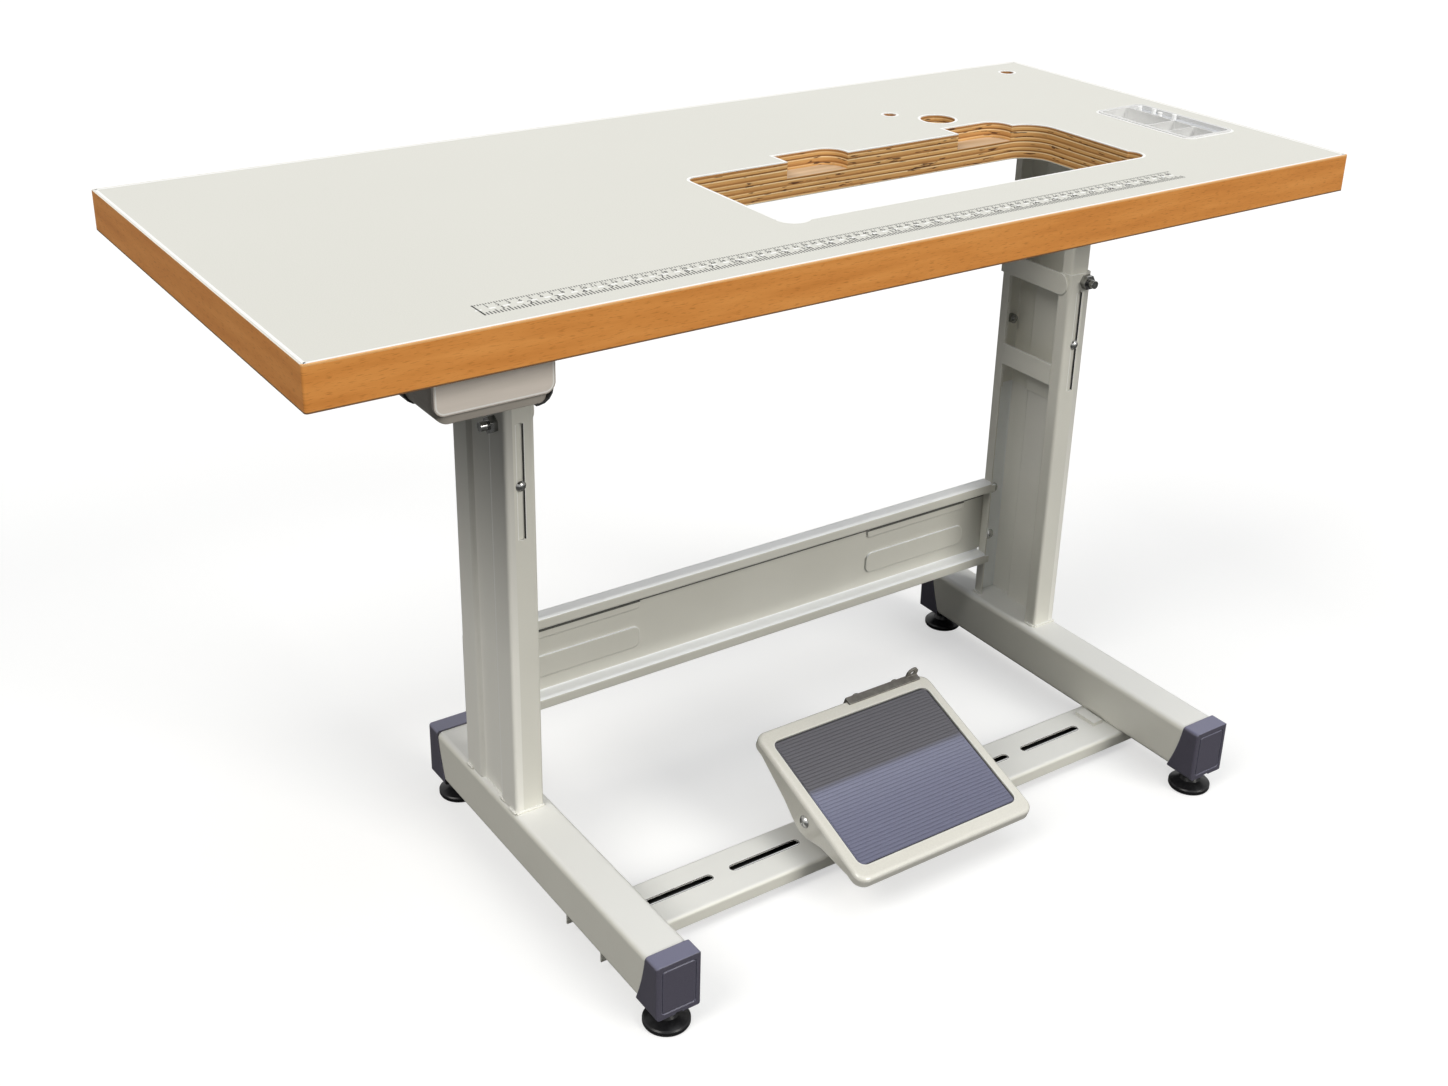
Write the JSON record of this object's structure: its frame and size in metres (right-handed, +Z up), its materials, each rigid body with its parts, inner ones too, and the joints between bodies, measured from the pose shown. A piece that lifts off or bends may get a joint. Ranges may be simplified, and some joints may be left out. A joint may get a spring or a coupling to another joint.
{
  "type": "industrial sewing machine table",
  "caption": "Industrial sewing machine table with a cut-out laminated worktop, tool tray, pencil drawer, height-adjustable steel stand, screw glides and tilting treadle.",
  "frame": {"origin": "on the floor under the middle of the table's footprint", "axes": "+X to the operator's right along the worktop, +Y away from the operator, +Z up"},
  "size_m": [1.2, 0.5665, 0.783],
  "materials": {
    "plywood": "bare cut plywood",
    "laminate": "fine satin laminate",
    "beech_band": "satin beech edge band",
    "tray_plastic": "moulded, satin",
    "drawer_plastic": "moulded, satin",
    "frame_paint": "satin powder coat",
    "black_steel": "black lacquer",
    "zinc": "bright zinc plate",
    "dark_steel": "phosphated",
    "cap_plastic": "moulded, satin",
    "glide_black": "moulded, matt",
    "treadle_plastic": "moulded, satin",
    "mat_rubber": "ribbed, matt"
  },
  "bodies": {
    "stand": {"back_brace": "frame_paint", "treadle_bar": "frame_paint", "left_foot_tube": "frame_paint", "left_column": "frame_paint", "left_upper_strap": "frame_paint", "left_lower_strap": "frame_paint", "left_clamp_stud": "zinc", "left_brace_bolts": "zinc", "left_weld_nuts": "zinc", "left_bar_bolts": "zinc", "front_left_cap": "cap_plastic", "rear_left_cap": "cap_plastic", "right_foot_tube": "frame_paint", "right_column": "frame_paint", "right_upper_strap": "frame_paint", "right_lower_strap": "frame_paint", "right_clamp_stud": "zinc", "right_brace_bolts": "zinc", "right_weld_nuts": "zinc", "right_bar_bolts": "zinc", "front_right_cap": "cap_plastic", "rear_right_cap": "cap_plastic"},
    "worktop": {"table_core": "plywood", "top_laminate": "laminate", "bottom_laminate": "laminate", "edge_band": "beech_band", "tool_tray": "tray_plastic", "left_drawer_runner": "black_steel", "right_drawer_runner": "black_steel", "runner_screws": "black_steel", "left_mounting_plate": "frame_paint", "left_plate_screws": "zinc", "left_post": "frame_paint", "left_slot_screws": "zinc", "right_mounting_plate": "frame_paint", "right_plate_screws": "zinc", "right_post": "frame_paint", "right_slot_screws": "zinc"},
    "drawer": {"drawer_box": "drawer_plastic", "drawer_front": "drawer_plastic"},
    "carrier": {"treadle_carrier": "frame_paint", "carrier_bolts": "zinc", "pivot_bolts": "zinc"},
    "treadle": {"treadle_frame": "treadle_plastic", "treadle_mat": "mat_rubber", "link_bracket": "dark_steel", "link_screws": "dark_steel"},
    "front_left_foot": {"front_left_glide": "glide_black"},
    "rear_left_foot": {"rear_left_glide": "glide_black"},
    "front_right_foot": {"front_right_glide": "glide_black"},
    "rear_right_foot": {"rear_right_glide": "glide_black"}
  },
  "joints": [
    {"name": "height_adjust", "type": "slide", "parent": "stand", "child": "worktop", "axis": [0, 0, 1], "range_m": [-0.058, 0.058]},
    {"name": "drawer_slide", "type": "slide", "parent": "worktop", "child": "drawer", "axis": [0, -1, 0], "range_m": [0, 0.15]},
    {"name": "carrier_slide", "type": "slide", "parent": "stand", "child": "carrier", "axis": [1, 0, 0], "range_m": [-0.04, 0.035]},
    {"name": "treadle_tilt", "type": "hinge", "parent": "carrier", "child": "treadle", "pos_m": [0.105, -0.1445, 0.0744], "axis": [1, 0, 0], "range_deg": [-28, 12]},
    {"name": "front_left_level", "type": "slide", "parent": "stand", "child": "front_left_foot", "axis": [0, 0, -1], "range_m": [0, 0.02]},
    {"name": "rear_left_level", "type": "slide", "parent": "stand", "child": "rear_left_foot", "axis": [0, 0, -1], "range_m": [0, 0.02]},
    {"name": "front_right_level", "type": "slide", "parent": "stand", "child": "front_right_foot", "axis": [0, 0, -1], "range_m": [0, 0.02]},
    {"name": "rear_right_level", "type": "slide", "parent": "stand", "child": "rear_right_foot", "axis": [0, 0, -1], "range_m": [0, 0.02]}
  ]
}
